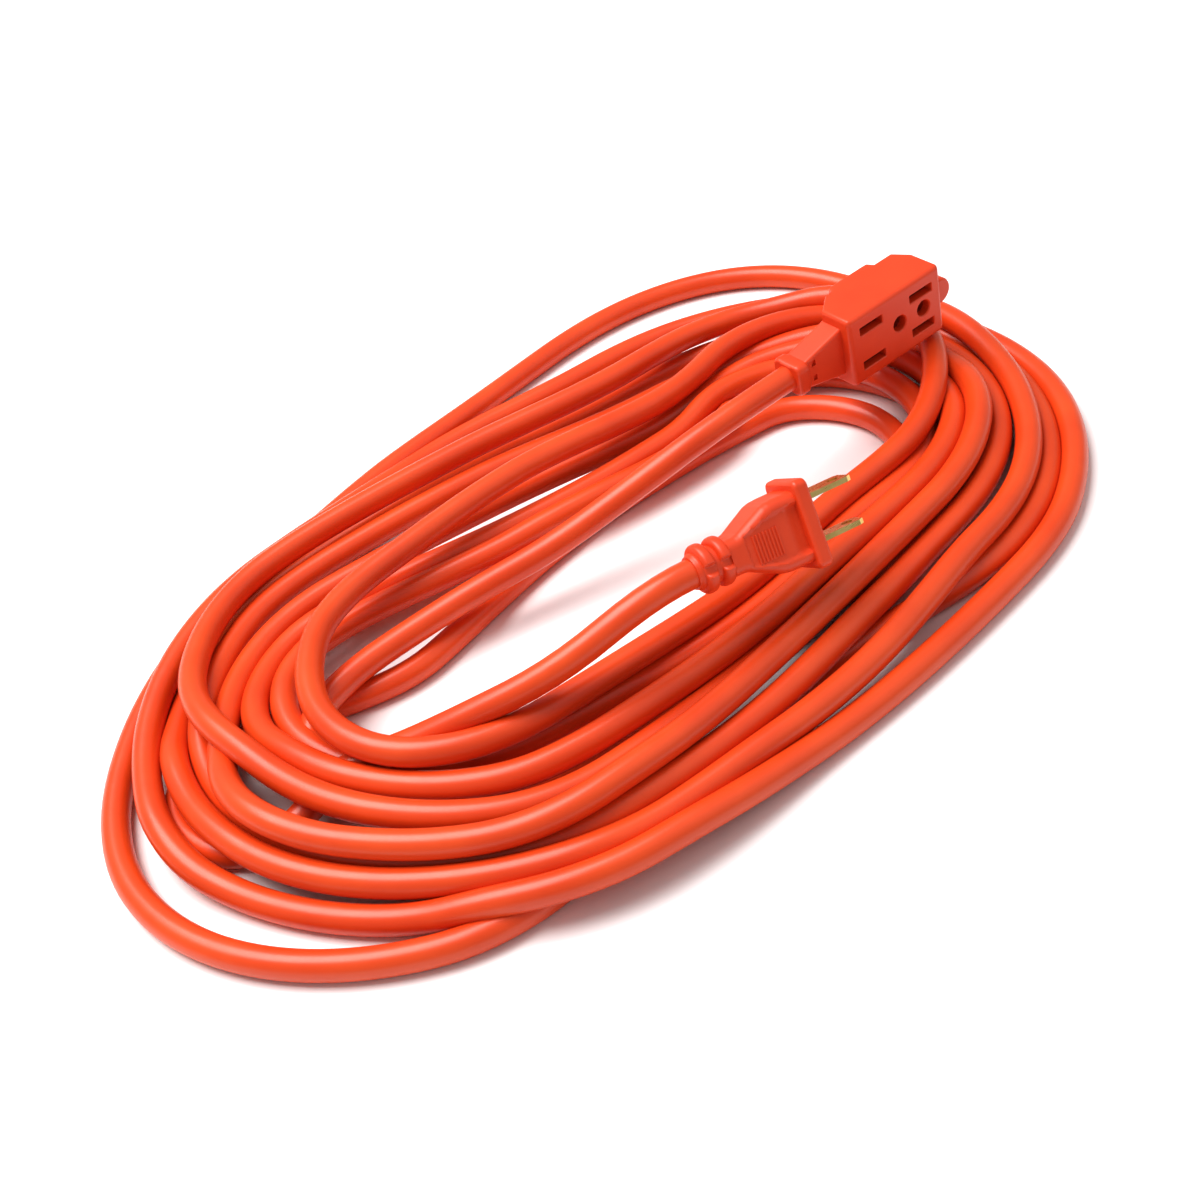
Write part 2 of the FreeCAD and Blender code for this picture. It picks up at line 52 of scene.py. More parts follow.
CAMERA_AT = Vector((-0.2227, -0.3230, 0.3180))
CAMERA_HEADING = 34.0
CAMERA_TILT = 40.0
CAMERA_ROLL = 14.0
CAMERA_LENS = 48.0


def add_camera():
    """Above the near left, looking down at the coil, with the camera tipped a little."""
    data = bpy.data.cameras.new("Camera")
    data.lens = CAMERA_LENS
    data.sensor_width = 36.0
    camera = bpy.data.objects.new("Camera", data)
    bpy.context.scene.collection.objects.link(camera)
    heading = Matrix.Rotation(math.radians(-CAMERA_HEADING), 4, "Z")
    tilt = Matrix.Rotation(math.radians(90.0 - CAMERA_TILT), 4, "X")
    roll = Matrix.Rotation(math.radians(-CAMERA_ROLL), 4, "Z")
    camera.matrix_world = Matrix.Translation(CAMERA_AT) @ heading @ tilt @ roll
    bpy.context.scene.camera = camera


# ---- where the two ends lie ----------------------------------------------------------------

def pose(place, yaw, pitch, roll):
    """From an end's own millimetres to the scene: its face's centre, then three angles."""
    turn = Matrix.Rotation(math.radians(yaw), 4, "Z")
    turn = turn @ Matrix.Rotation(math.radians(pitch), 4, "Y")
    turn = turn @ Matrix.Rotation(math.radians(roll), 4, "X")
    return Matrix.Translation(Vector(place) * MM) @ turn @ Matrix.Scale(MM, 4)


PLUG_POSE = pose((17.0, -74.5, 42.6), -12.0, 4.5, -29.0)
TAP_POSE = pose((111.5, -29.8, 37.6), -6.0, -2.0, 0.0)

# ---- cord ----------------------------------------------------------------------------------

# the routes between each end and the coil, in millimetres
TAP_LEAD = [(72.63, -17.17, 36.20), (44.8, -14.24, 35.23), (14, -5, 26), (-14, 3, 18.5),
            (-40, 11, 15.5), (-63, 16, 13), (-85, 18, 12), (-106, 13, 11)]
PLUG_LEAD = [(-112, -12, 13), (-97, -24, 17), (-82, -38, 25), (-60, -54, 34),
             (-31.27, -64.24, 46.48), (-19.57, -66.73, 45.54)]

# Each turn's distance from the coil's spine and its height, at twelve stations round the coil:
# far side right, middle and left; three round the left end; near side left, middle and right;
# three round the right end. The spine runs along X between the two ends' centres. The table began
# as a tracing of the photo that a helper script turned into distances; report.md says more.
SPINE = 70.0
TURNS = [
    ([46, 48, 59, 67, 70, 62, 48, 36], [6, 4, 4, 4, 4, 4, 4, 6]),
    ([11, 21, 41, 46, 40, 37, 47, 62, 60, 56, 46, 32],
     [11, 11, 11, 11, 11, 11, 13, 14, 11, 11, 11, 11]),
    ([18, 29, 48, 56, 48, 50, 64, 72, 68, 66, 54, 36],
     [11, 11, 11, 11, 18, 18, 18, 18, 18, 18, 15, 11]),
    ([28, 46, 59, 59, 68, 71, 84, 82, 76, 70, 64, 46],
     [11, 11, 11, 11, 17, 18, 18, 18, 18, 18, 15, 11]),
    ([47, 63, 72, 67, 67, 72, 87, 90, 82, 79, 72, 62],
     [8, 11, 11, 11, 11, 11, 11, 11, 11, 11, 11, 8]),
    ([62, 78, 82, 78, 76, 76, 95, 101, 94, 88, 84, 84],
     [4, 6, 6, 6, 11, 11, 11, 11, 11, 11, 11, 6]),
    ([84, 96, 87, 84, 84, 85, 97, 108, 107, 98, 91, 112],
     [4, 5, 12, 12, 5, 5, 12, 4, 4, 4, 4, 4]),
    ([106, 101, 92, 92, 102, 97, 86, 88, 98, 93, 81, 50],
     [4, 4, 4, 4, 4, 4, 4, 4, 4, 7, 11, 17]),
    ([29, 37, 36, 32, 36, 45, 50, 57, 54, 62, 73, 70],
     [20, 25, 25, 25, 25, 25, 22, 18, 18, 18, 18, 13]),
    ([56, 71, 79, 71, 56, 60, 73, 75, 60, 46, 28, 19],
     [18, 18, 18, 18, 18, 18, 14, 12, 8, 4, 4, 4]),
    ([15, 19, 10], [4, 4, 4]),
]
FIRST_STATION = 4
# the last turn's end, round under the coil's left end and up towards the plug
LAST_TURN = [(-90, 17, 4.2), (-111, 29, 4.2), (-131, 34, 4.2), (-143, 31, 4.2), (-152, 22, 4.2),
             (-155, 10, 4.2), (-152, -2, 4.2), (-143, -11, 5.5), (-131, -14, 9), (-121, -13, 11.5)]

# The line that is settled has a point every SPACING millimetres. Under the plug and the tap, and
# UNDER_MARGIN round them, no strand's middle lies above CEILING.
SPACING = 4.5
CEILING = 20.2
UNDER_MARGIN = 6.0
# rounds of settling, and how many of them use the same list of close pairs
ROUNDS = 240
LIST_ROUNDS = 10
# two points are a close pair when they are nearer than this many diameters
NEAR = 1.7
# how much of an overlap each of two turns gives way, and how much a turn gives way to a lead
TURN_SHARE = 0.5
LEAD_SHARE = 0.8
# in each round a strand is smoothed, drawn back towards its guide, pushed and let down
SMOOTHING = 0.6
HELD = 0.985
STRIDE = 1.2
SINK = 0.02
# points left off each lead beside the turns, and off each end of the turns beside the leads
LEAD_GAP = 8
TURN_GAP = 2
# one settled point in this many becomes a control point of the cord
KEPT_STEP = 4


def station_point(station, distance, height):
    """A point on the oblong path at the given distance from the spine."""
    place = station % 12.0
    if place <= 2.0:
        return (SPINE * (1.0 - place), distance, height)
    if place < 6.0:
        angle = math.radians(90.0 + 45.0 * (place - 2.0))
        return (-SPINE + distance * math.cos(angle), distance * math.sin(angle), height)
    if place <= 8.0:
        return (SPINE * (place - 7.0), -distance, height)
    angle = math.radians(-90.0 + 45.0 * (place - 8.0))
    return (SPINE + distance * math.cos(angle), distance * math.sin(angle), height)


def eased(values, i, t):
    """Catmull-Rom value at t between values i and i + 1."""
    before = values[max(i - 1, 0)]
    start = values[i]
    end = values[i + 1]
    after = values[min(i + 2, len(values) - 1)]
    start_slope = (end - before) / 2.0
    end_slope = (after - start) / 2.0
    return ((2 * t ** 3 - 3 * t ** 2 + 1) * start + (t ** 3 - 2 * t ** 2 + t) * start_slope
            + (3 * t ** 2 - 2 * t ** 3) * end + (t ** 3 - t ** 2) * end_slope)


def coil_guide(steps=12):
    """The turns as a dense line of points, with distance and height eased between stations."""
    distances = [value for turn in TURNS for value in turn[0]]
    heights = [value for turn in TURNS for value in turn[1]]
    line = []
    for i in range(len(distances) - 1):
        for k in range(steps):
            t = k / steps
            line.append(station_point(FIRST_STATION + i + t, eased(distances, i, t),
                                      eased(heights, i, t)))
    line.append(station_point(FIRST_STATION + len(distances) - 1, distances[-1], heights[-1]))
    return line + LAST_TURN


def evenly_spaced(line, spacing):
    """The coil's line with its points an equal distance apart."""
    points = np.array(line, dtype=float)
    gaps = np.linalg.norm(np.diff(points, axis=0), axis=1)
    along = np.concatenate([[0.0], np.cumsum(gaps)])
    wanted = np.linspace(0.0, along[-1], int(along[-1] / spacing) + 1)
    return np.stack([np.interp(wanted, along, points[:, k]) for k in range(3)], axis=1)


def inside(points, name):
    """Which points lie under or beside a node, seen from above."""
    low, high = [np.array(corner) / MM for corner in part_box(name)]
    past_low = (points[:, :2] > low[:2] - UNDER_MARGIN).all(axis=1)
    return past_low & (points[:, :2] < high[:2] + UNDER_MARGIN).all(axis=1)


def close_pairs(points, others, apart):
    """Pairs of points nearly in touch; apart is how many steps of one line don't count."""
    gaps = np.sqrt(((points[:, None, :] - others[None, :, :]) ** 2).sum(axis=2))
    near = gaps < CORD * NEAR
    if apart:
        steps = np.arange(len(others))[None, :] - np.arange(len(points))[:, None]
        near &= steps > apart
    return np.nonzero(near)


def pushes(points, others, pair, share):
    """How far each pair's first point has to move to part the two."""
    offset = points[pair[0]] - others[pair[1]]
    gap = np.linalg.norm(offset, axis=1)
    short = np.clip(CORD - gap, 0.0, None)
    return offset / np.maximum(gap, 0.01)[:, None] * short[:, None] * share, short > 0


def settle(guide, leads):
    """Part strands that run into each other, and let them down onto what is under them."""
    points = guide.copy()
    apart = int(4 * CORD / SPACING)
    for step in range(ROUNDS):
        if step % LIST_ROUNDS == 0:
            turns_pair = close_pairs(points, points, apart)
            leads_pair = close_pairs(points, leads, 0)
        move = np.zeros_like(points)
        hits = np.zeros(len(points))
        push, touching = pushes(points, points, turns_pair, TURN_SHARE)
        np.add.at(move, turns_pair[0], push)
        np.add.at(move, turns_pair[1], -push)
        np.add.at(hits, turns_pair[0], touching)
        np.add.at(hits, turns_pair[1], touching)
        push, touching = pushes(points, leads, leads_pair, LEAD_SHARE)
        np.add.at(move, leads_pair[0], push)
        np.add.at(hits, leads_pair[0], touching)
        change = points - guide
        smooth = change.copy()
        smooth[1:-1] = (change[:-2] + 2 * change[1:-1] + change[2:]) / 4.0
        points = guide + ((1.0 - SMOOTHING) * change + SMOOTHING * smooth) * HELD
        points += STRIDE * move / np.maximum(hits, 1.0)[:, None]
        points[:, 2] = np.maximum(points[:, 2] - SINK, CORD / 2.0)
        under = inside(points, "tap_body") | inside(points, "plug_body")
        points[under, 2] = np.minimum(points[under, 2], CEILING)
    return points


def spline_line(points):
    """The smooth line, in millimetres, that a cord with these control points follows."""
    curve = cord_curve("trial", points, 0.0)
    mesh = bpy.data.meshes.new_from_object(curve)
    line = np.array([vertex.co / MM for vertex in mesh.vertices])
    bpy.data.objects.remove(curve)
    bpy.data.meshes.remove(mesh)
    return line


def cord_points():
    """The whole cord's control points, from the tap to the plug."""
    tap_side = spline_line(TAP_LEAD)[:-LEAD_GAP]
    plug_side = spline_line(PLUG_LEAD)[LEAD_GAP:]
    turns = settle(evenly_spaced(coil_guide(), SPACING), np.concatenate([tap_side, plug_side]))
    last = len(turns) - 1
    kept = np.linspace(TURN_GAP, last - TURN_GAP, len(turns) // KEPT_STEP).round().astype(int)
    return np.concatenate([TAP_LEAD, turns[kept], PLUG_LEAD])


def cord_curve(name, points, diameter):
    """One open NURBS spline through the control points, in metres."""
    data = bpy.data.curves.new(name, "CURVE")
    data.dimensions = "3D"
    data.bevel_depth = diameter / 2.0
    data.bevel_resolution = 6
    data.resolution_u = 5
    data.use_fill_caps = True
    spline = data.splines.new("NURBS")
    spline.points.add(len(points) - 1)
    for point, place in zip(spline.points, points):
        point.co = (place[0] * MM, place[1] * MM, place[2] * MM, 1.0)
    spline.order_u = 3
    spline.use_endpoint_u = True
    curve = bpy.data.objects.new(name, data)
    bpy.context.scene.collection.objects.link(curve)
    return curve


# ---- mesh helpers --------------------------------------------------------------------------

def loft(work, loops):
    """A closed skin through loops of equal length, capped at both ends."""
    rows = [[work.verts.new(point) for point in loop] for loop in loops]
    count = len(rows[0])
    for row, after in zip(rows, rows[1:]):
        for i in range(count):
            k = (i + 1) % count
            work.faces.new((row[i], row[k], after[k], after[i]))
    work.faces.new(rows[0][::-1])
    work.faces.new(rows[-1])


def rounded_outline(half_wide, half_tall, radius, corner_steps=7, side_steps=4):
    """A rounded rectangle as (across, up) pairs, its straight sides cut into short steps."""
    corners = [(1, 1, 0), (-1, 1, 90), (-1, -1, 180), (1, -1, 270)]
    arcs = []
    for side_across, side_up, start in corners:
        centre = Vector((side_across * (half_wide - radius), side_up * (half_tall - radius)))
        angles = [math.radians(start + 90.0 * k / corner_steps) for k in range(corner_steps + 1)]
        arcs.append([centre + radius * Vector((math.cos(a), math.sin(a))) for a in angles])
    loop = []
    for arc, following in zip(arcs, arcs[1:] + arcs[:1]):
        loop += arc
        loop += [arc[-1].lerp(following[0], k / side_steps) for k in range(1, side_steps)]
    return loop


def step_up(value, start, end):
    """0 below start, 1 above end, and smooth between."""
    t = min(max((value - start) / (end - start), 0.0), 1.0)
    return t * t * (3.0 - 2.0 * t)


def between(table, x):
    """The value at x, read from a table of (x, value) rows in falling order of x."""
    for (x0, v0), (x1, v1) in zip(table, table[1:]):
        if x >= x1:
            return v0 + (v1 - v0) * (x - x0) / (x1 - x0)
    return table[-1][1]


def soft_box(work, low, high, bevel, steps=3):
    """A box with rounded edges."""
    made = bmesh.ops.create_cube(work, size=1.0)
    size = [b - a for a, b in zip(low, high)]
    middle = [(a + b) / 2.0 for a, b in zip(low, high)]
    bmesh.ops.scale(work, vec=size, verts=made["verts"])
    bmesh.ops.translate(work, vec=middle, verts=made["verts"])
    edges = list({edge for vert in made["verts"] for edge in vert.link_edges})
    bmesh.ops.bevel(work, geom=edges, offset=bevel, segments=steps, profile=0.5,
                    affect="EDGES", clamp_overlap=True)


def lathe(work, stations, radius_at, steps=72):
    """A closed skin round the X axis; radius_at takes the place along X and the angle."""
    loops = []
    for x in stations:
        angles = [math.tau * k / steps for k in range(steps)]
        loops.append([Vector((x, radius_at(x, a) * math.cos(a), radius_at(x, a) * math.sin(a)))
                      for a in angles])
    loft(work, loops)


def plain_object(name, mesh_maker, end_pose):
    """An object from a function that fills a mesh in the plug's or tap's own millimetres."""
    work = bmesh.new()
    mesh_maker(work)
    bmesh.ops.recalc_face_normals(work, faces=work.faces)
    mesh = bpy.data.meshes.new(name)
    work.to_mesh(mesh)
    work.free()
    mesh.transform(end_pose)
    piece = bpy.data.objects.new(name, mesh)
    bpy.context.scene.collection.objects.link(piece)
    return piece


def carve(piece, cutter):
    """Take the cutter's volume out of the piece, and the cutter out of the scene."""
    modifier = piece.modifiers.new("Carve", "BOOLEAN")
    modifier.operation = "DIFFERENCE"
    modifier.solver = "EXACT"
    modifier.object = cutter
    seen = piece.evaluated_get(bpy.context.evaluated_depsgraph_get())
    mesh = bpy.data.meshes.new_from_object(seen)
    piece.modifiers.clear()
    piece.data = mesh
    bpy.data.objects.remove(cutter)


def finished(parts, name, material, sharp_angle=38.0):
    """Parts made in one mould as one object, smooth but for its real edges."""
    work = bmesh.new()
    for part in parts:
        work.from_mesh(part.data)
        bpy.data.objects.remove(part)
    mesh = bpy.data.meshes.new(name)
    work.to_mesh(mesh)
    work.free()
    mesh.shade_smooth()
    mesh.set_sharp_from_angle(angle=math.radians(sharp_angle))
    mesh.materials.append(material)
    piece = bpy.data.objects.new(name, mesh)
    bpy.context.scene.collection.objects.link(piece)
    weighted = piece.modifiers.new("Normals", "WEIGHTED_NORMAL")
    weighted.keep_sharp = True
    return piece


# ---- plug: its face is the plane X = 0 of its own millimetres, its blades point along +X -----

FLANGE_THICK = 4.5
FLANGE_HALF_WIDE = 8.5
FLANGE_HALF_TALL = 12.7
# half sizes of the grip and of its side panels, as (place along X, half size)
GRIP_TALL = [(-3.0, 10.3), (-10.0, 10.3), (-12.5, 10.15), (-14.3, 9.7), (-16.0, 8.9), (-23.2, 5.5),
             (-24.5, 5.2), (-29.0, 5.2)]
GRIP_WIDE = [(-3.0, 7.0), (-14.0, 7.0), (-26.0, 6.2), (-29.0, 6.2)]
PANEL_TALL = [(-3.0, 7.4), (-13.5, 7.2), (-22.5, 4.6), (-29.0, 4.6)]
GRIP_START = -3.0
GRIP_STEP = 0.25
GRIP_LOOPS = 99
GRIP_CORNER = 2.8
PANEL_DEEP = 0.7
VALLEY_DEEP = 0.8
RIBS = 8
FIRST_RIB = -12.3
RIB_PITCH = 1.05
RIB_FOOT = -4.6
RIB_HEAD = 3.5
RELIEF_START = -25.5
RELIEF_STEP = 0.15
RELIEF_LOOPS = 81
SLEEVE_RADIUS = 5.3
RING_MIDDLES = (-28.7, -33.9)
RING_HALF = 1.9
RING_RISE = 1.75
# how far in from the sides a rounded edge is at each depth behind its face
ROUNDED_EDGE = [(0.0, 1.2), (0.12, 0.74), (0.4, 0.34), (0.8, 0.1), (1.2, 0.0)]


def make_flange(work):
    """The plate behind the blades."""
    front = [(-depth, inset) for depth, inset in ROUNDED_EDGE]
    back = [(depth - FLANGE_THICK, inset) for depth, inset in reversed(ROUNDED_EDGE)]
    loops = []
    for x, inset in front + back:
        outline = rounded_outline(FLANGE_HALF_WIDE - inset, FLANGE_HALF_TALL - inset,
                                  2.0 - 0.6 * inset)
        loops.append([Vector((x, across, up)) for across, up in outline])
    loft(work, loops)


def pressed_in(point):
    """Sink a panel into each broad side of the grip, deepest beside the flange."""
    edge = between(PANEL_TALL, point.x) - abs(point.z)
    shelf = step_up(edge, 0.0, 0.9) * step_up(point.x, -22.8, -21.8)
    valley = step_up(edge, 0.0, 1.6) * step_up(point.x, -9.5, -5.5)
    deep = PANEL_DEEP * shelf + VALLEY_DEEP * valley
    return Vector((point.x, point.y - math.copysign(deep, point.y), point.z))


def make_grip(work):
    """Finger grip that narrows towards the cord."""
    loops = []
    for i in range(GRIP_LOOPS):
        x = GRIP_START - GRIP_STEP * i
        outline = rounded_outline(between(GRIP_WIDE, x), between(GRIP_TALL, x), GRIP_CORNER,
                                  side_steps=26)
        loops.append([pressed_in(Vector((x, across, up))) for across, up in outline])
    loft(work, loops)


def make_ribs(work):
    """Fine ribs in the panel on each broad side."""
    for i in range(RIBS):
        x = FIRST_RIB - RIB_PITCH * i
        floor = between(GRIP_WIDE, x) - PANEL_DEEP
        for side in (-1, 1):
            low, high = sorted((side * (floor - 0.3), side * (floor + 0.42)))
            soft_box(work, (x - 0.5, low, RIB_FOOT), (x, high, RIB_HEAD), 0.16)


def relief_radius(x, angle):
    """Sleeve with two thick rings, each notched at the middle of both broad sides."""
    radius = SLEEVE_RADIUS - 0.6 * step_up(-x, 36.2, 37.5)
    notch = 0.8 * step_up(abs(math.cos(angle)), 0.965, 0.99)
    for middle in RING_MIDDLES:
        across = abs(x - middle) / RING_HALF
        if across < 1.0:
            radius += RING_RISE * (1.0 - across ** 3) ** 0.55 * (1.0 - notch)
    return radius


def make_relief(work):
    """Ringed strain relief between the grip and the cord."""
    stations = [RELIEF_START - RELIEF_STEP * i for i in range(RELIEF_LOOPS)]
    lathe(work, stations, relief_radius, steps=108)


def add_plug(material):
    """The plug's moulding, in place of the CAD body."""
    makers = (make_flange, make_grip, make_ribs, make_relief)
    parts = [plain_object("plug_part", maker, PLUG_POSE) for maker in makers]
    plug = finished(parts, "plug_moulding", material)
    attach(plug, "root")
    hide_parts("plug_body")
    return plug


# ---- tap: its face is the plane Y = 0 of its own millimetres, its depth runs along +Y --------

# the block's and boss's outlines seen from above, as (depth, left end, right end)
TAP_ENDS = [(12.0, -20.0, 20.0), (17.4, -13.7, 16.85), (18.0, -12.6, 16.1)]
BOSS_ENDS = [(18.0, -10.2, 10.2), (18.25, -9.9, 9.9), (20.6, -8.8, 8.8), (21.2, -8.2, 8.2)]
TAP_HALF_LONG = 20.0
TAP_HALF_TALL = 12.3
BOSS_FACE = 21.2
# the outlets' middles, half the distance between an outlet's slots, and half a slot's size
LEFT_OUTLET = -10.7
RIGHT_OUTLET = 11.0
HALF_PITCH = 6.35
HALF_SLOT_LONG = 4.8
HALF_SLOT_WIDE = 1.45
# the round recesses' places along the face, their height and radius
RECESSES = (1.2, 11.7)
RECESS_UP = 0.4
RECESS_RADIUS = 2.7
# how deep the openings run, just past the moulding's skin
FRONT_SKIN = 3.1
REAR_SKIN = 3.4
# the cord's and the neck's middle behind the face
NECK_DEPTH = 8.5
NECK_START = -17.0
NECK_LOOPS = 21
DIMPLES_UP = (3.1, -2.3)
# the tab's middle as (along the face, depth, up)
TAB_PLACE = (21.5, 4.5, 0.5)
TAB_RADIUS = 4.5


def make_tap_block(work):
    """Flat outlet face with rounded edges, slanting ends behind it, and a boss at the back."""
    rows = []
    for depth, inset in ROUNDED_EDGE:
        drawn_in = 1.35 * inset
        rows.append((1.35 * depth, -TAP_HALF_LONG + drawn_in, TAP_HALF_LONG - drawn_in, drawn_in))
    rows += [(depth, left, right, 0.0) for depth, left, right in TAP_ENDS[:2]]
    rows.append((*TAP_ENDS[2], 0.6))
    rows += [(depth, left, right, 0.6 + 0.4 * (depth > 21.0)) for depth, left, right in BOSS_ENDS]
    loops = []
    for depth, left, right, inset in rows:
        outline = rounded_outline((right - left) / 2.0, TAP_HALF_TALL - inset, 1.3, side_steps=2)
        middle = (left + right) / 2.0
        loops.append([Vector((middle + across, depth, up)) for across, up in outline])
    loft(work, loops)


def flat_box(work, low, high):
    """A sharp box, as a tool."""
    made = bmesh.ops.create_cube(work, size=1.0)["verts"]
    bmesh.ops.scale(work, vec=[b - a for a, b in zip(low, high)], verts=made)
    bmesh.ops.translate(work, vec=[(a + b) / 2.0 for a, b in zip(low, high)], verts=made)


def flared_hole(work, across, up, radius, depth):
    """A round tool along Y whose mouth widens a little at the outlet face."""
    rows = [(-1.0, radius + 0.35), (0.0, radius + 0.35), (0.35, radius), (depth, radius)]
    loops = []
    for y, wide in rows:
        angles = [math.tau * k / 40 for k in range(40)]
        loops.append([Vector((across + wide * math.cos(a), y, up + wide * math.sin(a)))
                      for a in angles])
    loft(work, loops)


def slot_tool(work, across, up, mouth, inward, depth):
    """A slot-shaped tool along Y whose mouth widens a little at the face it opens in."""
    rows = [(-1.0, 0.3), (0.0, 0.3), (0.3, 0.0), (depth, 0.0)]
    loops = []
    for run, flare in rows:
        y = mouth + inward * run
        outline = rounded_outline(HALF_SLOT_LONG + flare, HALF_SLOT_WIDE + flare, 0.3,
                                  corner_steps=2, side_steps=1)
        loops.append([Vector((across + u, y, up + v)) for u, v in outline])
    loft(work, loops)


def make_openings(work):
    """Six slots and two round recesses."""
    for up in (-HALF_PITCH, HALF_PITCH):
        slot_tool(work, LEFT_OUTLET, up, 0.0, 1, FRONT_SKIN)
        slot_tool(work, RIGHT_OUTLET, up, 0.0, 1, FRONT_SKIN)
        slot_tool(work, 0.0, up, BOSS_FACE, -1, REAR_SKIN)
    for across in RECESSES:
        flared_hole(work, across, RECESS_UP, RECESS_RADIUS, FRONT_SKIN)


def make_carrier_space(work):
    """The space that the two contact carriers fill, 0.02 mm larger than them all round."""
    flat_box(work, (-17.52, 2.98, -9.52), (17.52, 11.02, 9.52))
    flat_box(work, (-9.02, 10.98, -8.82), (9.02, 18.02, 8.82))


def make_neck(work):
    """Tapered neck between the block and the collar."""
    loops = []
    for i in range(NECK_LOOPS):
        x = NECK_START - i
        tall = 9.1 - 4.3 * max(0.0, (-x - 18.0) / 18.0)
        outline = rounded_outline(4.5, tall, 1.1)
        loops.append([Vector((x, NECK_DEPTH + across, up)) for across, up in outline])
    loft(work, loops)


def make_dimples(work):
    """Two small square recesses on the front of the neck."""
    for up in DIMPLES_UP:
        flat_box(work, (-33.15, 3.0, up - 1.0), (-31.65, 4.8, up + 1.0))


def make_collar(work):
    """Flared collar round the cord where it leaves the neck."""
    rows = [(-34.6, 5.0, 4.9), (-35.4, 5.7, 5.0), (-36.2, 6.15, 5.4), (-38.8, 6.2, 5.5),
            (-39.6, 5.9, 5.2), (-40.0, 5.3, 4.7)]
    loops = []
    for x, half_wide, half_tall in rows:
        outline = rounded_outline(half_wide, half_tall, 2.4)
        loops.append([Vector((x, NECK_DEPTH + across, up)) for across, up in outline])
    loft(work, loops)


def make_tab(work):
    """Round tab on the end away from the cord."""
    middle, depth, height = TAB_PLACE
    angles = [math.tau * k / 48 for k in range(48)]
    loops = []
    for run, inset in ((-2.5, 0.9), (-2.2, 0.3), (-1.6, 0.0), (1.6, 0.0), (2.2, 0.3), (2.5, 0.9)):
        radius = TAB_RADIUS - inset
        loops.append([Vector((middle + radius * math.cos(a), depth + run,
                              height + radius * math.sin(a))) for a in angles])
    loft(work, loops)


def add_tap(material):
    """The tap's moulding, in place of the CAD body."""
    block = plain_object("tap_block", make_tap_block, TAP_POSE)
    carve(block, plain_object("tool", make_carrier_space, TAP_POSE))
    carve(block, plain_object("tool", make_openings, TAP_POSE))
    neck = plain_object("tap_neck", make_neck, TAP_POSE)
    carve(neck, plain_object("tool", make_dimples, TAP_POSE))
    collar = plain_object("tap_collar", make_collar, TAP_POSE)
    tab = plain_object("tap_tab", make_tab, TAP_POSE)
    tap = finished([block, neck, collar, tab], "tap_moulding", material)
    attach(tap, "root")
    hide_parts("tap_body")
    return tap


# ---- materials -----------------------------------------------------------------------------

class Nodes:
    """Short calls for building one material's nodes."""

    def __init__(self, name):
        self.material = bpy.data.materials.new(name)
        self.material.use_nodes = True
        self.tree = self.material.node_tree
        self.shader = self.tree.nodes["Principled BSDF"]
        self.place = self.add("ShaderNodeTexCoord").outputs["Object"]

    def add(self, kind, **inputs):
        node = self.tree.nodes.new(kind)
        for name, value in inputs.items():
            node.inputs[name.replace("_", " ")].default_value = value
        return node

    def link(self, source, target):
        self.tree.links.new(source, target)

    def noise(self, scale, detail=3.0, roughness=0.5):
        node = self.add("ShaderNodeTexNoise", Scale=scale, Detail=detail, Roughness=roughness)
        self.link(self.place, node.inputs["Vector"])
        return node.outputs["Fac"]

    def stretched_noise(self, scale, stretch, detail=3.0):
        """Noise drawn out along one or more axes."""
        mapping = self.add("ShaderNodeMapping", Scale=stretch)
        self.link(self.place, mapping.inputs["Vector"])
        node = self.add("ShaderNodeTexNoise", Scale=scale, Detail=detail)
        self.link(mapping.outputs["Vector"], node.inputs["Vector"])
        return node.outputs["Fac"]

    def ramp(self, factor, stops):
        node = self.tree.nodes.new("ShaderNodeValToRGB")
        elements = node.color_ramp.elements
        while len(elements) < len(stops):
            elements.new(0.5)
        for element, (position, colour) in zip(elements, stops):
            element.position = position
            element.color = (*colour, 1.0)
        self.link(factor, node.inputs["Fac"])
        return node.outputs["Color"]

    def ranged(self, factor, low, high):
        node = self.add("ShaderNodeMapRange")
        node.inputs["To Min"].default_value = low
        node.inputs["To Max"].default_value = high
        self.link(factor, node.inputs["Value"])
        return node.outputs["Result"]

    def bump(self, height, strength, distance, under=None):
        node = self.add("ShaderNodeBump", Strength=strength, Distance=distance)
        self.link(height, node.inputs["Height"])
        if under:
            self.link(under, node.inputs["Normal"])
        return node.outputs["Normal"]

    def set(self, **values):
        """Give a shader socket a number or colour, or link it to a node's output."""
        for name, value in values.items():
            socket = self.shader.inputs[name.replace("_", " ")]
            if isinstance(value, bpy.types.NodeSocket):
                self.link(value, socket)
            else:
                socket.default_value = value


# colours as linear red, green and blue, the darker first
JACKET_TONES = ((0.70, 0.066, 0.009), (0.78, 0.092, 0.014))
MOULDING_TONES = ((0.70, 0.056, 0.008), (0.77, 0.072, 0.012))
BLADE_TONES = ((0.70, 0.50, 0.17), (0.86, 0.66, 0.28))
CONTACT_TONES = ((0.60, 0.43, 0.16), (0.74, 0.56, 0.26))
# the carriers' colour is a darker copy of the orange moulding: painted shade for the depth of the
# slots
SHADED_INSERT_TONES = ((0.36, 0.035, 0.012), (0.45, 0.05, 0.018))
WHITE_TONES = ((0.76, 0.76, 0.72), (0.84, 0.84, 0.80))
BLACK_TONES = ((0.03, 0.03, 0.03), (0.05, 0.05, 0.05))


